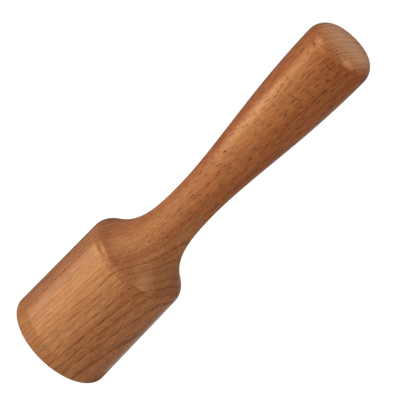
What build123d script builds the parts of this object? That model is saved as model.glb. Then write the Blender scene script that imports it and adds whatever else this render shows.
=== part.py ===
from build123d import *

import os
from math import asin, cos, degrees, radians, sin, sqrt

# Pounding nutcracker, turned in one piece from a beech blank, in millimetres.
#
# The head is a heavy drum with a flat end-grain face that is struck down on the nut. A rounded shoulder
# slopes in and runs in a hollow curve to a narrow neck, and from there the grip swells to a rounded butt.
# Head, neck and grip are one piece of wood, so the part is one solid: the outline below, turned about Z.
#
# The pounder stands on its striking face. The origin is the centre of that face, and +Z runs up the grip.

# Overall
OVERALL_LENGTH = 250.0  # striking face to the top of the butt

# Head: a drum that draws in very slightly towards its shoulder
FACE_RADIUS = 32.5  # at the rim of the striking face
RIM_ROUND = 1.0  # sanded edge round the striking face
HEAD_SIDE_HEIGHT = 69.4  # striking face to where the shoulder starts to turn in
HEAD_DRAFT = 1.25  # degrees that the side leans in from the axis

# Shoulder and hollow
SHOULDER_ROUND = 6.8  # radius of the rounded shoulder
SHOULDER_TURN = 48.0  # degrees that the shoulder turns in towards the neck
SLOPE_HOLD = 0.85  # how firmly the hollow follows that slope, as a share of the way in to the neck
NECK_HOLD_BELOW = 0.54  # how firmly it follows the upright neck, as a share of the hollow's height

# Neck and grip
NECK_RADIUS = 12.6  # at the narrowest place
NECK_RISE = 54.6  # height of the narrowest place above the head's side
GRIP_RADIUS = 19.85  # at the fullest place, just under the butt
NECK_HOLD_ABOVE = 0.27  # how firmly the grip follows the upright neck, as a share of the grip's height
BUTT_HOLD = 0.42  # and how firmly it follows the upright side of the butt

# Butt: the rounded top end of the grip
BUTT_CORNER_RADIUS = 10.3
BUTT_CROWN_RADIUS = 47.0  # shallow crown over the end

UP = (0, 1)  # along the axis, in the outline's plane
OUT = (1, 0)  # away from the axis


def butt_corner():
    """Height at which the butt's corner starts to turn in, and the degrees that it turns.

    The corner is tangent to the grip's side and, from inside, to the crown that is centred on the axis.
    """
    across = GRIP_RADIUS - BUTT_CORNER_RADIUS
    between_centres = BUTT_CROWN_RADIUS - BUTT_CORNER_RADIUS
    up = sqrt(between_centres**2 - across**2)
    crown_centre_height = OVERALL_LENGTH - BUTT_CROWN_RADIUS
    return crown_centre_height + up, 90 - degrees(asin(across / between_centres))


def half_outline():
    """The turner's template: half of the section, in the XZ plane, closed along the axis."""
    neck_height = HEAD_SIDE_HEIGHT + NECK_RISE
    corner_height, corner_turn = butt_corner()
    with BuildSketch(Plane.XZ) as section:
        with BuildLine():
            # Head, from the centre of the striking face round the rim and up the side
            face = Line((0, 0), (FACE_RADIUS - RIM_ROUND, 0))
            rim = JernArc(face @ 1, OUT, RIM_ROUND, 90 + HEAD_DRAFT)
            side_length = (HEAD_SIDE_HEIGHT - (rim @ 1).Y) / cos(radians(HEAD_DRAFT))
            side = PolarLine(rim @ 1, side_length, 90 + HEAD_DRAFT)
            shoulder = JernArc(side @ 1, side % 1, SHOULDER_ROUND, SHOULDER_TURN)

            # Hollow, from the shoulder's slope to the upright neck
            slope_to_neck = ((shoulder @ 1).X - NECK_RADIUS) / sin(radians(HEAD_DRAFT + SHOULDER_TURN))
            hollow_height = neck_height - (shoulder @ 1).Y
            hollow = Bezier(
                shoulder @ 1,
                shoulder @ 1 + shoulder % 1 * SLOPE_HOLD * slope_to_neck,
                (NECK_RADIUS, neck_height - NECK_HOLD_BELOW * hollow_height),
                (NECK_RADIUS, neck_height),
            )

            # Grip, upright at the neck and again where the butt starts
            grip_height = corner_height - neck_height
            grip = Bezier(
                hollow @ 1,
                (NECK_RADIUS, neck_height + NECK_HOLD_ABOVE * grip_height),
                (GRIP_RADIUS, corner_height - BUTT_HOLD * grip_height),
                (GRIP_RADIUS, corner_height),
            )

            # Butt, closed down the axis
            JernArc(grip @ 1, UP, BUTT_CORNER_RADIUS, corner_turn)
            crown = CenterArc(
                (0, OVERALL_LENGTH - BUTT_CROWN_RADIUS),
                BUTT_CROWN_RADIUS,
                corner_turn,
                90 - corner_turn,
            )
            Line(crown @ 1, face @ 0)
        make_face()
    return section.sketch


def pounder():
    """The whole tool, turned from the one outline."""
    return revolve(half_outline(), axis=Axis.Z)


def main():
    os.makedirs("parts", exist_ok=True)
    export_step(pounder(), "parts/pounder.step")


main()
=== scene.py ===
# %% [markdown]
# # A turned beech pounder for cracking nuts
#
# The real tool is one length of oiled beech, turned on a lathe: a heavy drum head, a rounded shoulder, a
# hollow curve down to a thin neck, and a grip that swells to a round butt. The CAD model holds its size and
# shape. This lesson gives it a smooth turned skin, wood that looks cut from a log, and a studio to stand in.
#
# Everything is in metres, and the pounder stands on its striking face at the origin, with its axis along Z.

# %% Load the CAD model as the frame
import math

import bmesh
import bpy
from mathutils import Matrix, Vector
from mathutils.geometry import interpolate_bezier


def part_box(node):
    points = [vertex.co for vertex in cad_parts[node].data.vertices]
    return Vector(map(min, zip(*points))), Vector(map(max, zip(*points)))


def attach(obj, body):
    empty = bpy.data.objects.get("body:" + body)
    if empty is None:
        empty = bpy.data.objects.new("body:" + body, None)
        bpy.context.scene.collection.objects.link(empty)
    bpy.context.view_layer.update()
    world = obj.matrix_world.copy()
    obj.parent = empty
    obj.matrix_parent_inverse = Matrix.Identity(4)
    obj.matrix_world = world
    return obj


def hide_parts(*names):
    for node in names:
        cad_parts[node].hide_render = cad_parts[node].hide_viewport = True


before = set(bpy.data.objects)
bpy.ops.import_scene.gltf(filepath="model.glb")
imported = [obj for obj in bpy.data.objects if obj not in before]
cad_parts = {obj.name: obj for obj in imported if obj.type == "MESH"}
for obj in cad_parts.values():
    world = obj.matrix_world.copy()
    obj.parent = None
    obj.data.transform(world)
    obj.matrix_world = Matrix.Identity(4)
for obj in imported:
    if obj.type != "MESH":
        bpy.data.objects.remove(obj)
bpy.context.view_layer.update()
MM = 0.001
_, rim_and_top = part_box("pounder")
FACE_RADIUS = rim_and_top.x
OVERALL_LENGTH = rim_and_top.z
print(f"CAD piece: {FACE_RADIUS / MM:.1f} mm radius, {OVERALL_LENGTH / MM:.1f} mm long")

# %% [markdown]
# ## The outline
#
# A turner works to a template, which is half of the tool's section. A mesh can be made the same way: draw
# that half once and spin it. Two other ways would be a subdivision surface over a few rings, which is quick
# but pulls away from its control points, and the CAD mesh itself, whose long thin triangles break up the
# gloss. Arcs and Bezier curves put each point exactly on the shape, so the highlights run clean.

# %% Sizes of the head and shoulder
RIM_ROUND = 1.0 * MM
SIDE_HEIGHT = 69.4 * MM
SIDE_DRAFT = math.radians(1.25)
SHOULDER_ROUND = 6.8 * MM
SHOULDER_TURN = math.radians(48.0)
SLOPE_HOLD = 0.85
print(f"head: {SIDE_HEIGHT / MM:.1f} mm up to its shoulder")

# %% [markdown]
# The neck is the thinnest place, and the grip above it is fullest near the butt, which helps to keep the tool
# in the hand. The neck's height is counted from the shoulder. It could be counted from the floor, but this
# way the neck moves up with the shoulder when the head is made taller.

# %% Sizes of the neck, grip and butt
NECK_RADIUS = 12.6 * MM
NECK_HEIGHT = SIDE_HEIGHT + 54.6 * MM
NECK_HOLD_BELOW = 0.54
NECK_HOLD_ABOVE = 0.27
GRIP_RADIUS = 19.85 * MM
BUTT_HOLD = 0.42
BUTT_CORNER_RADIUS = 10.3 * MM
BUTT_CROWN_RADIUS = 47.0 * MM
print(f"neck: {2 * NECK_RADIUS / MM:.1f} mm thick, {NECK_HEIGHT / MM:.1f} mm up")
print(f"grip: {2 * GRIP_RADIUS / MM:.1f} mm thick at its fullest")

# %% [markdown]
# Three small helpers draw the outline in the XZ plane. An arc leaves out its first point, because the
# stretch before it already ends there, and a doubled point would make a ring of faces with no height.


# %% Helpers for the outline
def outline_point(out, up):
    """A point of the half section: a distance from the axis and a height."""
    return Vector((out, 0.0, up))


def arc(centre, radius, start, turn, count):
    """Points along an arc, its first point left out."""
    angles = [start + turn * step / count for step in range(1, count + 1)]
    return [centre + radius * outline_point(math.cos(a), math.sin(a)) for a in angles]


def straight(start, end, count):
    """Points along a line, its first point left out."""
    return [start.lerp(end, step / count) for step in range(1, count + 1)]


print(f"a quarter circle in 4 steps has {len(arc(Vector(), 1.0, 0.0, math.pi / 2, 4))} new points")

# %% [markdown]
# ## The head
#
# The striking face is flat. Its rim is sanded to a small round, and the side leans in by just over a degree,
# as a turned drum often does. The round starts where the flat face ends and turns a little more than a
# quarter circle, so that it runs into the leaning side without a crease.


# %% Outline of the head
def head_outline():
    """From the centre of the striking face, round the rim, up the side and over the shoulder."""
    face_centre = outline_point(0.0, 0.0)
    face_edge = outline_point(FACE_RADIUS - RIM_ROUND, 0.0)
    points = [face_centre] + straight(face_centre, face_edge, 24)
    rim_centre = face_edge + outline_point(0.0, RIM_ROUND)
    points += arc(rim_centre, RIM_ROUND, -math.pi / 2, math.pi / 2 + SIDE_DRAFT, 8)
    rise = SIDE_HEIGHT - points[-1].z
    side_top = points[-1] + outline_point(-rise * math.tan(SIDE_DRAFT), rise)
    points += straight(points[-1], side_top, 36)
    outward = outline_point(math.cos(SIDE_DRAFT), math.sin(SIDE_DRAFT))
    shoulder_centre = side_top - SHOULDER_ROUND * outward
    points += arc(shoulder_centre, SHOULDER_ROUND, SIDE_DRAFT, SHOULDER_TURN, 14)
    return points


outline = head_outline()
print(f"head: {len(outline)} points, shoulder ends {outline[-1].z / MM:.1f} mm up")

# %% [markdown]
# ## The neck and grip
#
# Below the neck the turner's gouge leaves a hollow, and above it the grip swells. Each is one Bezier curve,
# and both stand upright where they meet at the thinnest place, so the join can't be seen or felt. A
# Bezier's two inner points say how firmly it holds its direction at each end. Those are the HOLD values:
# each is a share of the distance that the curve has to cover.


# %% Outline of the hollow and the grip
UP = outline_point(0.0, 1.0)


def hollow_outline(shoulder_end):
    """From the end of the shoulder down its slope and up to the thinnest place."""
    slope = math.pi / 2 + SIDE_DRAFT + SHOULDER_TURN
    along_slope = outline_point(math.cos(slope), math.sin(slope))
    slope_length = (shoulder_end.x - NECK_RADIUS) / math.sin(SIDE_DRAFT + SHOULDER_TURN)
    neck = outline_point(NECK_RADIUS, NECK_HEIGHT)
    leave = shoulder_end + along_slope * SLOPE_HOLD * slope_length
    arrive = neck - UP * NECK_HOLD_BELOW * (neck.z - shoulder_end.z)
    return interpolate_bezier(shoulder_end, leave, arrive, neck, 40)[1:]


def grip_outline(neck, grip_top):
    """From the thinnest place up to the fullest."""
    leave = neck + UP * NECK_HOLD_ABOVE * (grip_top.z - neck.z)
    arrive = grip_top - UP * BUTT_HOLD * (grip_top.z - neck.z)
    return interpolate_bezier(neck, leave, arrive, grip_top, 56)[1:]


outline += hollow_outline(outline[-1])
print(f"hollow: ends {outline[-1].x / MM:.1f} mm from the axis")

# %% [markdown]
# ## The butt
#
# The grip ends in a small round corner and a wide shallow crown. The corner touches the grip's side, and it
# touches the crown from inside, so its centre follows from the two radii by Pythagoras. Worked out like
# this, the corner still fits when a size is changed.


# %% Outline of the grip and butt
def butt_corner():
    """The centre of the corner's round, and how far it turns before the crown takes over."""
    across = GRIP_RADIUS - BUTT_CORNER_RADIUS
    between_centres = BUTT_CROWN_RADIUS - BUTT_CORNER_RADIUS
    up = math.sqrt(between_centres**2 - across**2)
    centre = outline_point(across, OVERALL_LENGTH - BUTT_CROWN_RADIUS + up)
    return centre, math.acos(across / between_centres)


corner_centre, corner_turn = butt_corner()
crown_centre = outline_point(0.0, OVERALL_LENGTH - BUTT_CROWN_RADIUS)
outline += grip_outline(outline[-1], outline_point(GRIP_RADIUS, corner_centre.z))
outline += arc(corner_centre, BUTT_CORNER_RADIUS, 0.0, corner_turn, 16)
outline += arc(crown_centre, BUTT_CROWN_RADIUS, corner_turn, math.pi / 2 - corner_turn, 14)
print(f"outline: {len(outline)} points, top at {outline[-1].z / MM:.2f} mm")

# %% [markdown]
# ## Spin it
#
# The lathe turns the wood and the tool stays still. Here the outline turns instead, once round Z. A full
# spin needs `use_merge`, or its last step stays apart from its first. The first and last points lie on the
# axis, so each is copied once for every step: merging doubles closes both poles. A spin can come out
# inside out, so the normals are worked out again afterwards.

# %% Turn the outline into a closed piece
SPIN_STEPS = 192
DOUBLES_APART = 0.001 * MM


def spun_mesh(name, points):
    """The outline turned all the way round Z, closed at both poles, faces outwards."""
    shape = bmesh.new()
    verts = [shape.verts.new(p) for p in points]
    edges = [shape.edges.new(pair) for pair in zip(verts, verts[1:])]
    bmesh.ops.spin(
        shape,
        geom=verts + edges,
        cent=(0, 0, 0),
        axis=(0, 0, 1),
        angle=math.tau,
        steps=SPIN_STEPS,
        use_merge=True,
        use_duplicate=False,
    )
    bmesh.ops.remove_doubles(shape, verts=shape.verts[:], dist=DOUBLES_APART)
    bmesh.ops.recalc_face_normals(shape, faces=shape.faces[:])
    for face in shape.faces:
        face.smooth = True
    open_edges = [edge for edge in shape.edges if not edge.is_manifold]
    volume = shape.calc_volume() * 1e6
    print(f"{name}: {len(shape.faces)} faces, {len(open_edges)} open edges, {volume:.1f} cm3")
    mesh = bpy.data.meshes.new(name)
    shape.to_mesh(mesh)
    shape.free()
    return mesh


pounder = bpy.data.objects.new("turned_pounder", spun_mesh("turned_pounder", outline))
bpy.context.scene.collection.objects.link(pounder)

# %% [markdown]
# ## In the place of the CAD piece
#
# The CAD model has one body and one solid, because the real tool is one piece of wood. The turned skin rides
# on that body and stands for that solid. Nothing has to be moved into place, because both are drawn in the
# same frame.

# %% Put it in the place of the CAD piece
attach(pounder, "root")
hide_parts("pounder")
print(f"{pounder.name} stands for the CAD piece")

# %% [markdown]
# ## Building materials in code
#
# A material is a tree of nodes. In code, each node takes three or four lines, so a few helpers keep the
# recipes short. `connect` is the one that matters: it takes either a plain value or another node's output,
# so that a recipe reads the same whichever it is given.


# %% Helpers that add nodes
def connect(tree, value, socket):
    """Links value to the socket if it comes from a node, and otherwise sets it there."""
    if isinstance(value, bpy.types.NodeSocket):
        tree.links.new(value, socket)
    else:
        socket.default_value = value


def put(tree, kind, inputs=None, **settings):
    """Adds a node. Its inputs are given by name or by number."""
    made = tree.nodes.new(kind)
    for name, value in settings.items():
        setattr(made, name, value)
    for name, value in (inputs or {}).items():
        connect(tree, value, made.inputs[name])
    return made


def calculate(tree, operation, *values, clamp=False):
    """One Math node, and its output."""
    made = put(tree, "ShaderNodeMath", dict(enumerate(values)), operation=operation, use_clamp=clamp)
    return made.outputs[0]


print("helpers: connect, put, calculate")

# %% [markdown]
# A mask is a number from 0 to 1 that says where something is. `fade` makes one with soft ends, and
# `between` turns one into an amount: the first value where the mask is 0, the second where it is 1.


# %% Helpers for masks and colours
def fade(tree, value, start, end):
    """A mask that rises smoothly from 0, where value is at start, to 1, where it is at end."""
    made = put(
        tree,
        "ShaderNodeMapRange",
        {"Value": value, "From Min": start, "From Max": end, "To Min": 0.0, "To Max": 1.0},
        interpolation_type="SMOOTHSTEP",
    )
    return made.outputs["Result"]


def between(tree, mask, low, high):
    """An amount that is low where the mask is 0 and high where it is 1."""
    return calculate(tree, "MULTIPLY_ADD", mask, high - low, low)


def blend_colours(tree, how, amount, under, over):
    """One Mix node for colours. Its factor is input 0, and its two colours are inputs 6 and 7."""
    made = put(tree, "ShaderNodeMix", {0: amount, 6: under, 7: over}, data_type="RGBA", blend_type=how)
    return made.outputs[2]


print("helpers: fade, between, blend_colours")

# %% [markdown]
# An effect that is used more than once becomes a node group, with named inputs and outputs. The grain of
# wood is much longer than it is wide, so most textures here are stretched: `stretched` divides a place in
# the wood by a size in millimetres each way, and one unit of the texture is then one feature.

# %% Helpers for groups and textures
SOCKET_KINDS = {"value": "NodeSocketFloat", "vector": "NodeSocketVector"}


def new_group(name, inputs, outputs):
    """An empty group. An input is a starting value or "vector", and an output "value" or "vector"."""
    group = bpy.data.node_groups.new(name, "ShaderNodeTree")
    for label, start in inputs.items():
        kind = SOCKET_KINDS["vector" if start == "vector" else "value"]
        socket = group.interface.new_socket(label, in_out="INPUT", socket_type=kind)
        if start != "vector":
            socket.default_value = start
    for label, kind in outputs.items():
        group.interface.new_socket(label, in_out="OUTPUT", socket_type=SOCKET_KINDS[kind])
    given = group.nodes.new("NodeGroupInput").outputs
    result = group.nodes.new("NodeGroupOutput").inputs
    return group, given, result


def use_group(tree, group, inputs):
    """Places a group in a tree, and gives its outputs."""
    return put(tree, "ShaderNodeGroup", inputs, node_tree=group).outputs


def stretched(tree, place, deep, around, along):
    """A place in the wood divided by a size in millimetres each way."""
    per_mm = (1 / deep, 1 / around, 1 / along)
    return put(tree, "ShaderNodeVectorMath", {0: place, 1: per_mm}, operation="MULTIPLY").outputs[0]


def soft_noise(tree, place, detail=2.0, roughness=0.5):
    """Cloudy noise whose features are about one unit across."""
    inputs = {"Vector": place, "Scale": 1.0, "Detail": detail, "Roughness": roughness}
    return put(tree, "ShaderNodeTexNoise", inputs).outputs["Fac"]


def line_noise(tree, along, detail):
    """The same kind of noise along a single number."""
    inputs = {"W": along, "Scale": 1.0, "Detail": detail}
    return put(tree, "ShaderNodeTexNoise", inputs, noise_dimensions="1D").outputs["Fac"]


print("helpers: new_group, use_group, stretched, soft_noise, line_noise")

# %% [markdown]
# ## Where a point was in the log
#
# Wood isn't painted on. The turner cut this piece out of a trunk, and each point of its skin shows whatever
# was there. So the pattern is worked out in the log: how far the point was from the pith, how far round, and
# how far along. Straight lines on the side, arches on the flat of the head and arcs on the end grain then
# all come from one set of rings. A texture wrapped round the piece would need a seam, and its end grain
# would not meet its side. A slow waver keeps the rings from being perfect circles.

# %% Group: place in the log
WAVER_SIZE = (16, 16, 60)


def log_place_group():
    group, given, result = new_group(
        "log_place",
        {"Position": "vector", "Pith Distance": 90.0, "Waver": 0.5},
        {"Depth": "value", "Grain Place": "vector"},
    )
    place = put(group, "ShaderNodeSeparateXYZ", {0: given["Position"]}).outputs
    from_pith = calculate(group, "ADD", place["X"], given["Pith Distance"])
    across_squared = calculate(group, "POWER", from_pith, 2.0)
    aside_squared = calculate(group, "POWER", place["Y"], 2.0)
    radius = calculate(group, "SQRT", calculate(group, "ADD", across_squared, aside_squared))
    angle = calculate(group, "ARCTAN2", place["Y"], from_pith)
    around = calculate(group, "MULTIPLY", angle, given["Pith Distance"])
    slow = soft_noise(group, stretched(group, given["Position"], *WAVER_SIZE), detail=1.0)
    waver = calculate(group, "MULTIPLY", calculate(group, "SUBTRACT", slow, 0.5), given["Waver"])
    depth = calculate(group, "ADD", calculate(group, "SUBTRACT", radius, given["Pith Distance"]), waver)
    joined = put(group, "ShaderNodeCombineXYZ", {"X": depth, "Y": around, "Z": place["Z"]})
    connect(group, depth, result["Depth"])
    connect(group, joined.outputs[0], result["Grain Place"])
    return group


log_place = log_place_group()
print(f"{log_place.name}: {len(log_place.nodes)} nodes")

# %% [markdown]
# ## Growth rings
#
# A tree grows a pale band in spring that darkens towards autumn and then stops sharply in winter. A sine
# wave would be the same on both sides. Instead, the share of the year is raised to a high power, which stays
# pale and then darkens quickly, and a short fade closes the line. Some years are drier than others, so
# noise stretches the pace of the years, and each year has its own random strength.

# %% Group: growth rings
YEARS_PACE = 9.0
AUTUMN_POWER = 6.0
WINTER_STOP = 0.93
LINE_GAIN = 1.6
FAINTEST_YEAR = 0.45
STRONGEST_YEAR = 1.25


def growth_rings_group():
    group, given, result = new_group(
        "growth_rings",
        {"Depth": 0.0, "Ring Width": 3.9, "Offset": 0.0, "Unevenness": 0.5},
        {"Latewood": "value", "Year": "value"},
    )
    pace = line_noise(group, calculate(group, "DIVIDE", given["Depth"], YEARS_PACE), detail=1.0)
    depth = calculate(group, "ADD", given["Depth"], given["Offset"])
    years = calculate(group, "DIVIDE", depth, given["Ring Width"])
    years = calculate(group, "ADD", years, calculate(group, "MULTIPLY", pace, given["Unevenness"]))
    share = calculate(group, "FRACT", years)
    rising = calculate(group, "POWER", share, AUTUMN_POWER)
    closing = fade(group, share, 1.0, WINTER_STOP)
    whole_year = calculate(group, "FLOOR", years)
    year = put(group, "ShaderNodeTexWhiteNoise", {"W": whole_year}, noise_dimensions="1D").outputs["Value"]
    line = calculate(group, "MULTIPLY", rising, closing)
    line = calculate(group, "MULTIPLY", line, between(group, year, FAINTEST_YEAR, STRONGEST_YEAR))
    connect(group, calculate(group, "MULTIPLY", line, LINE_GAIN, clamp=True), result["Latewood"])
    connect(group, year, result["Year"])
    return group


growth_rings = growth_rings_group()
print(f"{growth_rings.name}: {len(growth_rings.nodes)} nodes")

# %% [markdown]
# ## Ray flecks
#
# Beech is known by its flecks: short dark lens shapes, where the skin cuts across the rays that carry sap
# outwards. Voronoi cells place them evenly without rows. Each cell holds one lens, and its random colour
# decides whether that lens is kept and how dark it is.

# %% Group: ray flecks
CORE_SHARE = 0.6
FAINTEST_FLECK = 0.6
STRONGEST_FLECK = 1.0


def ray_flecks_group():
    group, given, result = new_group(
        "ray_flecks",
        {"Grain Place": "vector", "Wide": 0.9, "Long": 4.5, "Deep": 1.4, "Fullness": 0.3, "Share": 0.6},
        {"Fleck": "value"},
    )
    size = put(group, "ShaderNodeCombineXYZ", {"X": given["Deep"], "Y": given["Wide"], "Z": given["Long"]})
    cell_inputs = {0: given["Grain Place"], 1: size.outputs[0]}
    cells = put(group, "ShaderNodeVectorMath", cell_inputs, operation="DIVIDE").outputs[0]
    found = put(group, "ShaderNodeTexVoronoi", {"Vector": cells, "Scale": 1.0}, feature="F1").outputs
    core = calculate(group, "MULTIPLY", given["Fullness"], CORE_SHARE)
    lens = fade(group, found["Distance"], given["Fullness"], core)
    chance = put(group, "ShaderNodeSeparateColor", {0: found["Color"]}).outputs
    kept = calculate(group, "MULTIPLY", lens, calculate(group, "LESS_THAN", chance["Red"], given["Share"]))
    darkness = between(group, chance["Green"], FAINTEST_FLECK, STRONGEST_FLECK)
    fleck = calculate(group, "MULTIPLY", kept, darkness)
    connect(group, fleck, result["Fleck"])
    return group


ray_flecks = ray_flecks_group()
print(f"{ray_flecks.name}: {len(ray_flecks.nodes)} nodes")

# %% [markdown]
# ## Fibres
#
# Between the rings and the flecks, wood is a bundle of fibres. Fine streaks, about half a millimetre wide
# and 8 mm long, break up the colour and the gloss. Broad ones, some 6 mm wide and 70 mm long, are the slow
# drift from paler to redder wood.

# %% Group: fibre streaks
FINE_FIBRE = (0.62, 0.58, 8)
BROAD_STREAK = (4.5, 6, 70)


def fibre_streaks_group():
    outputs = {"Fine": "value", "Broad": "value"}
    group, given, result = new_group("fibre_streaks", {"Grain Place": "vector"}, outputs)
    fine_place = stretched(group, given["Grain Place"], *FINE_FIBRE)
    broad_place = stretched(group, given["Grain Place"], *BROAD_STREAK)
    fine = soft_noise(group, fine_place, detail=3.0, roughness=0.7)
    broad = soft_noise(group, broad_place, detail=2.0)
    connect(group, fade(group, fine, 0.32, 0.68), result["Fine"])
    connect(group, fade(group, broad, 0.3, 0.7), result["Broad"])
    return group


fibre_streaks = fibre_streaks_group()
print(f"{fibre_streaks.name}: {len(fibre_streaks.nodes)} nodes")

# %% [markdown]
# ## End grain
#
# Where the skin cuts across the fibres, it shows their open ends, which drink more oil and shine less. How
# squarely it cuts is the dot product of the surface's normal and the direction of the fibres. That is near 0
# along the side of the head and near 1 on the crown of the butt.

# %% Group: end grain
SLANTING_CUT = 0.25
SQUARE_CUT = 0.95


def end_grain_group():
    group, given, result = new_group("end_grain", {"Along": "vector"}, {"End Grain": "value"})
    normal = put(group, "ShaderNodeTexCoord").outputs["Normal"]
    lined = put(group, "ShaderNodeVectorMath", {0: normal, 1: given["Along"]}, operation="DOT_PRODUCT")
    squareness = calculate(group, "ABSOLUTE", lined.outputs["Value"])
    connect(group, fade(group, squareness, SLANTING_CUT, SQUARE_CUT), result["End Grain"])
    return group


end_grain = end_grain_group()
print(f"{end_grain.name}: {len(end_grain.nodes)} nodes")

# %% [markdown]
# ## Scratches
#
# Two hairline scratches cross the grain near the butt. Each is a thin line on the front of the grip, given
# by its height, its slope and its length, and a little noise keeps it from looking ruled. All its sizes are
# in metres.

# %% Group: a hairline scratch
JAG_SCALE = 900.0
JAG_HEIGHT = 1.6 * MM
SOFT_EDGE = (1.6, 0.6)
SOFT_TIP = (1.0, 0.5)
FRONT_FADE = 5 * MM


def hairline_group():
    group, given, result = new_group(
        "hairline",
        {
            "Position": "vector",
            "Height": 0.2,
            "Rise": 0.0,
            "Middle": 0.0,
            "Half Length": 0.003,
            "Thickness": 0.0002,
        },
        {"Mark": "value"},
    )
    place = put(group, "ShaderNodeSeparateXYZ", {0: given["Position"]}).outputs
    across = calculate(group, "SUBTRACT", place["X"], given["Middle"])
    jag_inputs = {"Vector": given["Position"], "Scale": JAG_SCALE, "Detail": 1.0}
    jag = put(group, "ShaderNodeTexNoise", jag_inputs).outputs["Fac"]
    jag = calculate(group, "MULTIPLY", calculate(group, "SUBTRACT", jag, 0.5), JAG_HEIGHT)
    line = calculate(group, "ADD", given["Height"], calculate(group, "MULTIPLY", across, given["Rise"]))
    off = calculate(group, "ADD", calculate(group, "SUBTRACT", place["Z"], line), jag)
    widths_off = calculate(group, "DIVIDE", calculate(group, "ABSOLUTE", off), given["Thickness"])
    reach = calculate(group, "DIVIDE", calculate(group, "ABSOLUTE", across), given["Half Length"])
    on_line = calculate(group, "MULTIPLY", fade(group, widths_off, *SOFT_EDGE), fade(group, reach, *SOFT_TIP))
    in_front = fade(group, place["Y"], 0.0, -FRONT_FADE)
    connect(group, calculate(group, "MULTIPLY", on_line, in_front), result["Mark"])
    return group


hairline = hairline_group()
print(f"{hairline.name}: {len(hairline.nodes)} nodes")

# %% [markdown]
# ## Oiled beech: the surface and the log
#
# The finish is rubbed oil: soft gloss that picks up the wood's own warmth. Specular Tint gives that, and
# because it is the same all over, it is set on the shader's own socket. The log lies almost along the
# piece, with its pith 85 mm away and to one side. A Mapping node turns the object's coordinates into
# the log's, in millimetres. Its Texture mode undoes a turn and a scale, so the scale is one millimetre.

# %% Start the material
PITH_SIDE = math.radians(70)
GRAIN_LEAN = math.radians(3.8)
PITH_DISTANCE = 85.0
RING_WAVER = 2.8
WARM_GLOSS = (1.0, 0.60, 0.22, 1)

beech = bpy.data.materials.new("oiled_beech")
beech.use_nodes = True
tree = beech.node_tree
shader = tree.nodes["Principled BSDF"]
shader.inputs["Specular IOR Level"].default_value = 1.0
shader.inputs["Specular Tint"].default_value = WARM_GLOSS

position = put(tree, "ShaderNodeTexCoord").outputs["Object"]
height = put(tree, "ShaderNodeSeparateXYZ", {0: position}).outputs["Z"]
log_turn = (0, GRAIN_LEAN, PITH_SIDE - math.pi / 2)
log_inputs = {"Vector": position, "Rotation": log_turn, "Scale": (MM, MM, MM)}
in_log = put(tree, "ShaderNodeMapping", log_inputs, vector_type="TEXTURE").outputs[0]
place = use_group(tree, log_place, {"Position": in_log, "Pith Distance": PITH_DISTANCE, "Waver": RING_WAVER})
print(f"{beech.name}: pith {PITH_DISTANCE:.0f} mm away")

# %% [markdown]
# The groups now go in, each with its own sizes in millimetres. The rings are placed twice: wide ones for the
# lines that show from a distance, and fine ones that are faint on the side and clear on the butt. So are the
# flecks, large and small.

# %% Place the wood's patterns
grain = place["Grain Place"]
wide_rings = {"Depth": place["Depth"], "Ring Width": 3.1, "Offset": 0.6, "Unevenness": 0.9}
fine_rings = {"Depth": place["Depth"], "Ring Width": 1.7, "Offset": 0.2, "Unevenness": 1.6}
large_flecks = {"Grain Place": grain, "Wide": 0.85, "Long": 5.5, "Deep": 1.1, "Fullness": 0.39, "Share": 0.48}
small_flecks = {"Grain Place": grain, "Wide": 0.6, "Long": 2.8, "Deep": 0.7, "Fullness": 0.38, "Share": 0.5}

rings = use_group(tree, growth_rings, wide_rings)
bands = use_group(tree, growth_rings, fine_rings)
large = use_group(tree, ray_flecks, large_flecks)
small = use_group(tree, ray_flecks, small_flecks)
streaks = use_group(tree, fibre_streaks, {"Grain Place": grain})

lean = math.sin(GRAIN_LEAN)
fibre_direction = (lean * math.sin(PITH_SIDE), -lean * math.cos(PITH_SIDE), math.cos(GRAIN_LEAN))
ends = use_group(tree, end_grain, {"Along": fibre_direction})
print(f"{beech.name}: fibres lean {math.degrees(GRAIN_LEAN):.1f} degrees from the axis")

# %% [markdown]
# ## Where the piece differs along its height
#
# The grip is redder and darker than the head, and about the lowest centimetre is duller and painted darker:
# painted shade where the key light's stripe stops. The rim is painted dark, a painted shade along its round.
# The hollow shines less, and the crown is paler, partly pale end grain and partly painted light from above.
# Painting these by hand would need an image. Each is a mask on height instead, so it follows the turned shape
# all the way round.

# %% Masks by height
grip = fade(tree, height, 75 * MM, 150 * MM)
butt = fade(tree, height, 236 * MM, 246 * MM)
crown = fade(tree, height, 241.5 * MM, 249 * MM)
# The lowest centimetre: duller, and painted shade where the key light's stripe stops.
dull_shaded_foot = fade(tree, height, 11.5 * MM, 8 * MM)
# The rim: painted shade along the round of the striking face.
rim = fade(tree, height, 1.4 * MM, 0.4 * MM)
hollow_starts = fade(tree, height, 72 * MM, 88 * MM)
hollow_ends = fade(tree, height, 175 * MM, 140 * MM)
hollow = calculate(tree, "MULTIPLY", hollow_starts, hollow_ends)
print("masks: grip, butt, crown, oil, rim, hollow")

# %% [markdown]
# ## Colour of the wood
#
# The colour is built in layers, from the slow to the sharp. First comes the drift from pale to red wood and
# the paler crown, partly pale end grain and partly painted light from above. Then come the dark lines of the
# rings, which the fibres break up, and which are fainter on the grip than on the head. Last, each year and
# each fibre is a little lighter or darker than the next. One image of wood would be quicker, but it could
# not turn from lines into arcs where the cut turns.

# %% Base colour and rings
EARLY_WOOD = (0.515, 0.205, 0.078, 1)
RED_WOOD = (0.440, 0.138, 0.047, 1)
LATE_WOOD = (0.235, 0.070, 0.024, 1)
# The crown's colour: partly pale end grain, partly painted light from above.
PALE_END_AND_PAINTED_LIGHT = (0.80, 0.50, 0.285, 1)
REDDEST = 0.8
PALEST = 0.78

redness = calculate(tree, "MULTIPLY", streaks["Broad"], REDDEST)
colour = blend_colours(tree, "MIX", redness, EARLY_WOOD, RED_WOOD)
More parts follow.
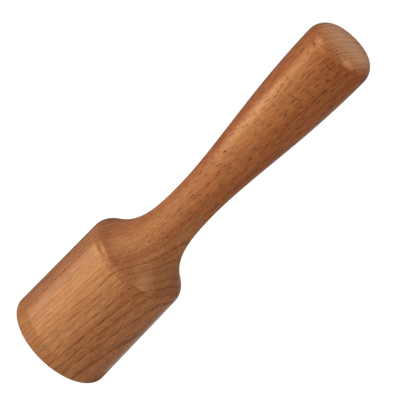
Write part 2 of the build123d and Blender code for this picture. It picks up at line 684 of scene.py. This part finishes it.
# The paler crown: partly pale end grain and partly painted light from above.
paleness = calculate(tree, "MULTIPLY", crown, PALEST)
colour = blend_colours(tree, "MIX", paleness, colour, PALE_END_AND_PAINTED_LIGHT)
print(f"{beech.name}: {len(tree.nodes)} nodes after the base colour")

# %% [markdown]
# The wide rings are strong on the head, fainter on the grip and a little stronger again on the butt. The fine
# ones are mostly for the butt. They could be two stops in one ramp, but two layers of the same group can
# each be faded by their own mask.

# %% Dark lines of the rings
WIDE_ON_HEAD = 0.78
WIDE_ON_GRIP = 0.38
WIDE_MORE_ON_BUTT = 0.22
FINE_ON_SIDE = 0.12
FINE_ON_BUTT = 0.72
LINE_BETWEEN_FIBRES = 1.75
LINE_ON_FIBRES = 0.25

wide_strength = between(tree, grip, WIDE_ON_HEAD, WIDE_ON_GRIP)
wide_strength = calculate(tree, "MULTIPLY_ADD", butt, WIDE_MORE_ON_BUTT, wide_strength)
wide_line = calculate(tree, "MULTIPLY", rings["Latewood"], wide_strength)
breaks = between(tree, streaks["Fine"], LINE_BETWEEN_FIBRES, LINE_ON_FIBRES)
wide_line = calculate(tree, "MULTIPLY", wide_line, breaks, clamp=True)
colour = blend_colours(tree, "MIX", wide_line, colour, LATE_WOOD)
fine_strength = between(tree, butt, FINE_ON_SIDE, FINE_ON_BUTT)
fine_line = calculate(tree, "MULTIPLY", bands["Latewood"], fine_strength)
colour = blend_colours(tree, "MIX", fine_line, colour, LATE_WOOD)
print(f"{beech.name}: {len(tree.nodes)} nodes after the rings")

# %% [markdown]
# No two years and no two fibres are quite the same tone. A multiply by a grey near 1 makes the wood a little
# lighter or darker and keeps it as warm as it was, where a mix with white would wash it out.

# %% Tone of years and fibres
YEAR_TONES = (0.95, 1.05)
FIBRE_TONES = (0.78, 1.22)

year_tone = between(tree, rings["Year"], *YEAR_TONES)
fibre_tone = between(tree, streaks["Fine"], *FIBRE_TONES)
tone = calculate(tree, "MULTIPLY", year_tone, fibre_tone)
grey = put(tree, "ShaderNodeCombineColor", {0: tone, 1: tone, 2: tone}).outputs[0]
colour = blend_colours(tree, "MULTIPLY", 1.0, colour, grey)
print(f"{beech.name}: {len(tree.nodes)} nodes after the tones")

# %% [markdown]
# ## Flecks, stains and painted shade
#
# The flecks are stronger on the grip than on the head, and weaker on end grain, where the rays are seen from
# another side. The small ones are half as strong as the large, so that they read as finer and not as more.

# %% Flecks
FLECK_BROWN = (0.115, 0.026, 0.008, 1)
FLECKS_ON_HEAD = 0.35
FLECKS_ON_GRIP = 1.0
FLECKS_ON_SIDE = 1.0
FLECKS_ON_ENDS = 0.3
SMALL_FLECKS = 0.5

fleck = calculate(tree, "MULTIPLY", large["Fleck"], between(tree, grip, FLECKS_ON_HEAD, FLECKS_ON_GRIP))
small_fleck = calculate(tree, "MULTIPLY", small["Fleck"], SMALL_FLECKS)
fleck = calculate(tree, "ADD", fleck, small_fleck, clamp=True)
cut_strength = between(tree, ends["End Grain"], FLECKS_ON_SIDE, FLECKS_ON_ENDS)
fleck = calculate(tree, "MULTIPLY", fleck, cut_strength)
colour = blend_colours(tree, "MIX", fleck, colour, FLECK_BROWN)
print(f"{beech.name}: {len(tree.nodes)} nodes after the flecks")

# %% [markdown]
# The darkenings are the red of the grip, the oil in the end grain, the painted shade round the foot and the
# painted shade on the rim. The end grain's pink tint is a painted sheen for the soft reflection on the
# shoulder. A mix with a brown would hide the pattern. A multiply darkens the wood and lets the pattern show,
# as oil does.

# %% Stains and painted shade
GRIP_STAIN = (0.88, 0.70, 0.60, 1)
# End grain: a real oil darkening, with a pink tint that is a painted sheen for the soft reflection on the
# shoulder.
END_GRAIN_STAIN_AND_PINK_SHEEN = (0.62, 0.50, 0.56, 1)
# Painted shade below about 10 mm, where the stripe's reflection ends.
FOOT_PAINTED_SHADE = (0.86, 0.82, 0.80, 1)
# Painted shade for the rim's round, seen at a grazing angle.
RIM_PAINTED_SHADE = (0.45, 0.38, 0.34, 1)
SOAKED_BELOW_BUTT = 0.45
SOAKED_ON_BUTT = 0.0
FOOT_SHADE_STRENGTH = 0.9
RIM_SHADE_STRENGTH = 0.75

soaking = between(tree, butt, SOAKED_BELOW_BUTT, SOAKED_ON_BUTT)
soaked = calculate(tree, "MULTIPLY", ends["End Grain"], soaking)
# Painted shade round the foot, where the key light's stripe stops.
foot_shade = calculate(tree, "MULTIPLY", dull_shaded_foot, FOOT_SHADE_STRENGTH)
# Painted shade along the rim.
rim_shade = calculate(tree, "MULTIPLY", rim, RIM_SHADE_STRENGTH)
# Real stains on the grip and end grain, painted shade at the foot and the rim, and a painted sheen in the
# end-grain tint.
for amount, stain_and_shade in ((grip, GRIP_STAIN), (soaked, END_GRAIN_STAIN_AND_PINK_SHEEN), (foot_shade, FOOT_PAINTED_SHADE), (rim_shade, RIM_PAINTED_SHADE)):
    colour = blend_colours(tree, "MULTIPLY", amount, colour, stain_and_shade)
print(f"{beech.name}: {len(tree.nodes)} nodes after the stains")

# %% [markdown]
# On the real tool the scratches were made last, so they go over everything else. They are a mix and not a
# multiply, because a scratch shows the same brown wherever it runs.

# %% Scratches
SCRATCH_BROWN = (0.09, 0.026, 0.010, 1)
SCRATCH_THICKNESS = 0.3 * MM
SCRATCH_STRENGTH = 0.75
upper_scratch = {
    "Position": position,
    "Height": 237.1 * MM,
    "Middle": 1.4 * MM,
    "Half Length": 3.0 * MM,
    "Thickness": SCRATCH_THICKNESS,
}
lower_scratch = {
    "Position": position,
    "Height": 212.4 * MM,
    "Rise": 0.36,
    "Middle": -0.6 * MM,
    "Half Length": 4.8 * MM,
    "Thickness": SCRATCH_THICKNESS,
}

upper_mark = use_group(tree, hairline, upper_scratch)["Mark"]
lower_mark = use_group(tree, hairline, lower_scratch)["Mark"]
marks = calculate(tree, "ADD", upper_mark, lower_mark, clamp=True)
scratched = calculate(tree, "MULTIPLY", marks, SCRATCH_STRENGTH)
colour = blend_colours(tree, "MIX", scratched, colour, SCRATCH_BROWN)
connect(tree, colour, shader.inputs["Base Color"])
print(f"{beech.name}: colour done, {len(tree.nodes)} nodes")

# %% [markdown]
# ## Gloss and touch
#
# Gloss helps the eye to tell wood from plastic. One even roughness would look like varnish or plastic, so the
# gloss is broken along the fibres, and it is duller in the flecks, on end grain, round the foot and in
# the hollow. Each of these adds its own share of roughness.

# %% Roughness
FIBRE_ROUGHNESS = (0.14, 0.23)
DULL_PLACES = ((fleck, 0.2), (ends["End Grain"], 0.14), (dull_shaded_foot, 0.35), (hollow, 0.30))

roughness = between(tree, streaks["Fine"], *FIBRE_ROUGHNESS)
for dull_place, extra in DULL_PLACES:
    roughness = calculate(tree, "ADD", roughness, calculate(tree, "MULTIPLY", dull_place, extra))
connect(tree, roughness, shader.inputs["Roughness"])
print(f"{beech.name}: roughness done")

# %% [markdown]
# A finger would feel the fibres stand up and the flecks and scratches lie low, all within about a tenth of a
# millimetre. That is far too small to model in the mesh, so a bump turns the normals and leaves the shape.

# %% Bump
BUMP_STRENGTH = 0.4
BUMP_DISTANCE = 0.12 * MM
FIBRE_RELIEF = 0.5
SCRATCH_RELIEF = 2.0

relief = calculate(tree, "MULTIPLY", streaks["Fine"], FIBRE_RELIEF)
relief = calculate(tree, "SUBTRACT", relief, fleck)
relief = calculate(tree, "SUBTRACT", relief, calculate(tree, "MULTIPLY", marks, SCRATCH_RELIEF))
bump_inputs = {"Strength": BUMP_STRENGTH, "Distance": BUMP_DISTANCE, "Height": relief}
bump = put(tree, "ShaderNodeBump", bump_inputs)
connect(tree, bump.outputs["Normal"], shader.inputs["Normal"])
pounder.data.materials.append(beech)
print(f"{beech.name}: {len(tree.nodes)} nodes, on {pounder.name}")

# %% [markdown]
# ## The camera
#
# The picture looks down on the pounder from about 24 degrees with a long lens, and is rolled so that the
# tool lies on the diagonal with its head at the lower left. `to_track_quat` points the camera, whose view
# runs along its own -Z, and the roll is added after that, about the same axis.

# %% Camera
CAMERA_PLACE = Vector((0.0, -857.1, 511.0)) * MM
CAMERA_AIM = Vector((1.4, 0.0, 124.6)) * MM
CAMERA_ROLL = math.radians(44.18)
CAMERA_LENS = 154.1
SENSOR_WIDTH = 36.0

camera_data = bpy.data.cameras.new("camera")
camera_data.lens = CAMERA_LENS
camera_data.sensor_width = SENSOR_WIDTH
camera = bpy.data.objects.new("camera", camera_data)
camera.location = CAMERA_PLACE
facing = (CAMERA_AIM - CAMERA_PLACE).to_track_quat("-Z", "Y").to_matrix()
camera.rotation_euler = (facing @ Matrix.Rotation(CAMERA_ROLL, 3, "Z")).to_euler()
bpy.context.scene.collection.objects.link(camera)
bpy.context.scene.camera = camera
print(f"camera: {(CAMERA_AIM - CAMERA_PLACE).length:.2f} m from its aim, {CAMERA_LENS} mm lens")

# %% [markdown]
# ## The floor
#
# The tool is shown on pure white with no shadow. A large sheet that glows a little reaches white whatever
# the lights do. It is kept out of reflections and bounced light, which would flood the wood, and it casts no
# shadow. So it lets through the light of the lamps that stand below its level.

# %% Floor
FLOOR_HALF_SIZE = 30.0
PAPER_GREY = (0.35, 0.35, 0.35, 1)
PAPER_GLOW = 0.93
WHITE = (1, 1, 1, 1)

floor_mesh = bpy.data.meshes.new("floor")
sheet = bmesh.new()
bmesh.ops.create_grid(sheet, x_segments=1, y_segments=1, size=FLOOR_HALF_SIZE)
sheet.to_mesh(floor_mesh)
sheet.free()
floor = bpy.data.objects.new("floor", floor_mesh)
bpy.context.scene.collection.objects.link(floor)
floor.visible_glossy = False
floor.visible_diffuse = False
floor.visible_shadow = False

paper = bpy.data.materials.new("white_paper")
paper.use_nodes = True
paper_shader = paper.node_tree.nodes["Principled BSDF"]
paper_shader.inputs["Base Color"].default_value = PAPER_GREY
paper_shader.inputs["Emission Color"].default_value = WHITE
paper_shader.inputs["Emission Strength"].default_value = PAPER_GLOW
floor.data.materials.append(paper)
print(f"floor: {2 * FLOOR_HALF_SIZE:.0f} m across")

# %% [markdown]
# ## The lights
#
# On a turned shape, a softbox shows as a long bright stripe, and where it stands decides where the stripe
# falls. A surface mirrors what lies at twice its own angle from the camera, so a stripe 40 degrees round the
# grip needs a lamp 80 degrees round. Rectangles give the stripe its clean edges. `around` places a lamp by
# azimuth, which is 0 towards the camera and positive to its right, and by elevation and distance. A fill
# light that should shade the wood and leave no stripe is kept out of the gloss.

# %% Helpers for lights
LIGHT_AIM = Vector((0.0, 0.0, 0.12))


def around(azimuth, elevation, distance):
    """A place seen from the middle of the pounder, by two angles in degrees and a distance."""
    a = math.radians(azimuth)
    e = math.radians(elevation)
    direction = Vector((math.sin(a) * math.cos(e), -math.cos(a) * math.cos(e), math.sin(e)))
    return LIGHT_AIM + distance * direction


def softbox(name, place, width, height, power, in_gloss=True, tint=(1, 1, 1)):
    """A rectangular studio light that looks at the pounder and doesn't show in the picture."""
    data = bpy.data.lights.new(name, "AREA")
    data.shape = "RECTANGLE"
    data.size = width
    data.size_y = height
    data.energy = power
    data.color = tint
    light = bpy.data.objects.new(name, data)
    light.location = place
    light.rotation_euler = (LIGHT_AIM - place).to_track_quat("-Z", "Y").to_euler()
    light.visible_camera = False
    light.visible_glossy = in_gloss
    bpy.context.scene.collection.objects.link(light)
    return light


print(f"lights look at {LIGHT_AIM.z / MM:.0f} mm above the floor")

# %% [markdown]
# The key light is a group of boxes on the left, which make the bright stripe down the head and the grip. The
# camera looks down less steeply on the grip than on the head, so the grip's part of the stripe needs a box
# that stands higher than the head's. With several boxes, the strength of each part can be set on its own.

# %% Key lights, on the left
softbox("key_left", around(-78, -29, 0.78), 0.50, 0.24, 0.68)
softbox("key_grip", around(-71, -17, 0.78), 0.38, 0.29, 0.80)
softbox("key_right", around(-45, -30, 0.80), 0.44, 0.50, 1.15)
softbox("key_high", around(-44, 8, 0.85), 0.50, 0.42, 1.0)
softbox("left_high", Vector((-0.40, -0.11, 0.31)), 0.22, 0.22, 0.40)
print("key lights: 5")

# %% [markdown]
# The fill lights lift the shaded side and the top, and give the back something to show when it is looked at.
# One of them is a little blue, for the cool haze on the right of the shoulder. The last one is for the butt:
# its round corner faces up and outwards, where no other box shows in it.

# %% Fill lights, all round
COOL = (0.84, 0.86, 1.0)

softbox("front_low", around(-8, -26, 0.8), 0.62, 0.45, 0.80)
softbox("front_top", around(-10, 28, 1.1), 1.1, 0.8, 1.3)
softbox("top_right", around(58, 50, 0.75), 0.36, 0.30, 1.25, tint=COOL)
softbox("top", around(90, 80, 0.8), 0.6, 0.6, 1.4, in_gloss=False)
softbox("back_top", around(172, 42, 1.0), 0.7, 0.5, 0.5)
softbox("right", around(75, -35, 0.6), 0.5, 0.5, 0.78, in_gloss=False)
softbox("back_low", around(165, -28, 0.9), 0.6, 0.5, 0.25)
softbox("below", around(10, -62, 0.9), 0.8, 0.5, 1.5)
softbox("butt_high", around(-72, 33, 0.85), 0.30, 0.26, 0.55)
print("fill lights: 9")

# %% [markdown]
# ## The surroundings
#
# The world does two jobs. The camera sees it as plain white, and the wood gets only a little light from
# it, because an even white world would wash out the shape. Light Path tells the two apart.

# %% World
AMBIENT_STRENGTH = 0.13

world = bpy.data.worlds.new("studio")
bpy.context.scene.world = world
world.use_nodes = True
sky = world.node_tree
ambient = sky.nodes["Background"]
ambient.inputs["Color"].default_value = WHITE
ambient.inputs["Strength"].default_value = AMBIENT_STRENGTH
backdrop = put(sky, "ShaderNodeBackground", {"Color": WHITE, "Strength": 1.0})
light_path = put(sky, "ShaderNodeLightPath")
chooser_inputs = {0: light_path.outputs["Is Camera Ray"], 1: ambient.outputs[0], 2: backdrop.outputs[0]}
chooser = put(sky, "ShaderNodeMixShader", chooser_inputs)
connect(sky, chooser.outputs[0], sky.nodes["World Output"].inputs["Surface"])
bpy.context.scene.view_settings.view_transform = "Standard"
print(f"world: {AMBIENT_STRENGTH} of white on the wood")
